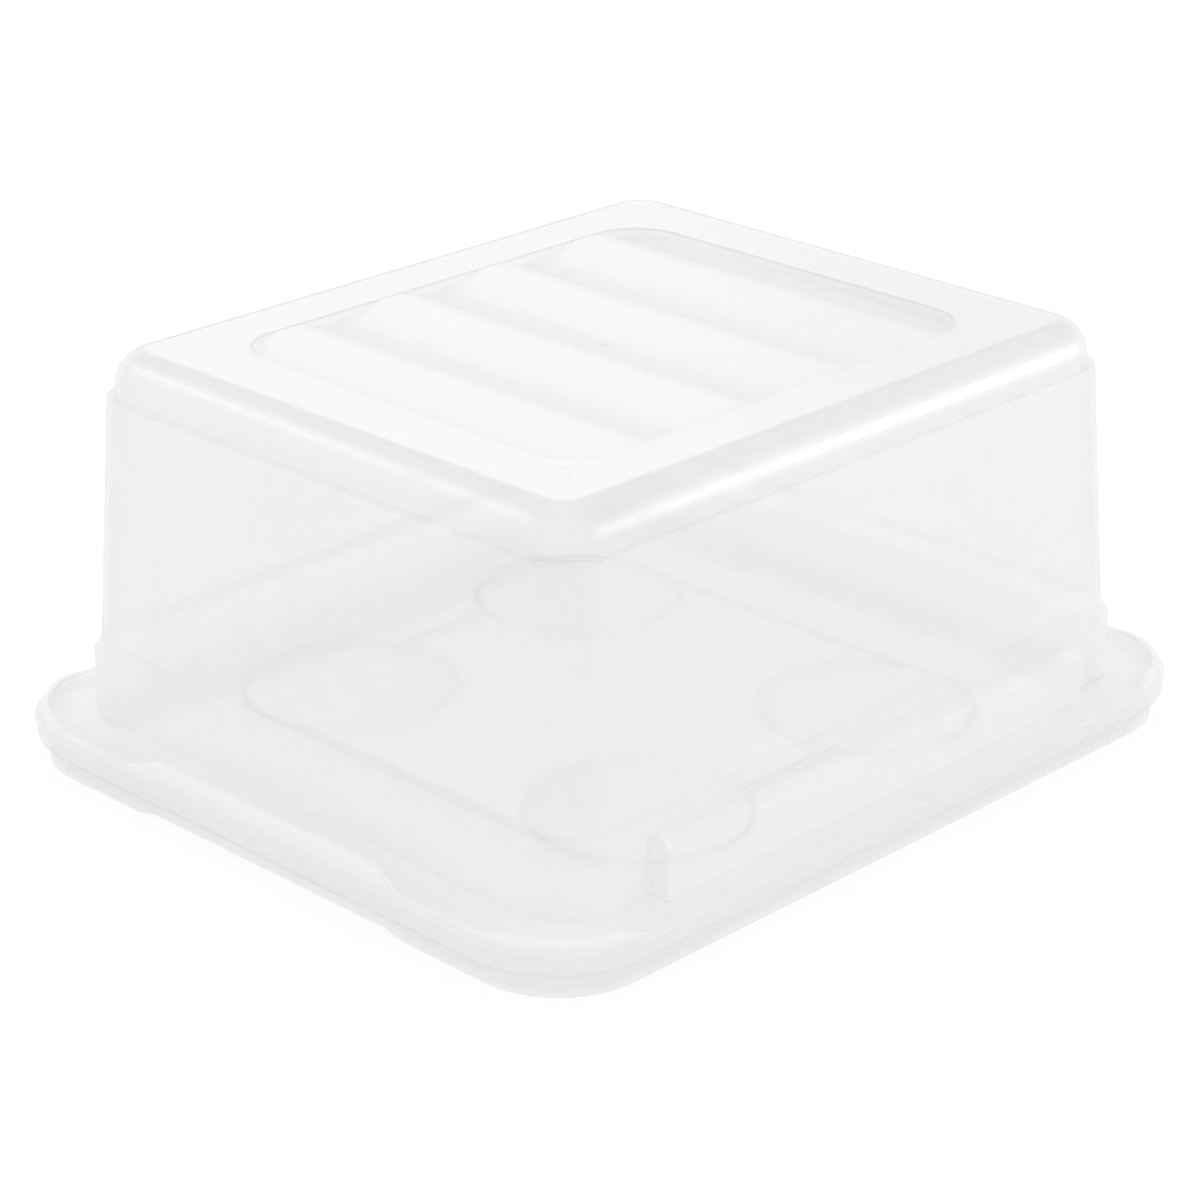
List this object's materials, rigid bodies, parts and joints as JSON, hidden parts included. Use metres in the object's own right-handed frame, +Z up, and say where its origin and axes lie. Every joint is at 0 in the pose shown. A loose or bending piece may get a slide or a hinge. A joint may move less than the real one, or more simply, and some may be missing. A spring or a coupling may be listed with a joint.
{
  "type": "dough proofing container",
  "caption": "Clear moulded box for proofing dough, turned over on its own lid: tapered walls, ribbed recessed base, stacking ledge and a wavy lip that takes the lid.",
  "frame": {"origin": "middle of the flat surface that the lid lies on, with the tub turned over on the lid as pictured", "axes": "+X along the long sides, +Y across to the far long side, +Z up from the lid through the tub's base"},
  "size_m": [0.4, 0.3442, 0.1804],
  "materials": {
    "tub_plastic": "clear natural polypropylene, smooth and slightly milky",
    "lid_plastic": "clear natural polypropylene, smooth and slightly milky"
  },
  "bodies": {
    "lid": {"lid": "lid_plastic"},
    "container": {"container_shell": "tub_plastic"}
  },
  "joints": [
    {"name": "container_lift", "type": "slide", "parent": "lid", "child": "container", "axis": [0, 0, 1], "range_m": [0, 0.2]}
  ]
}
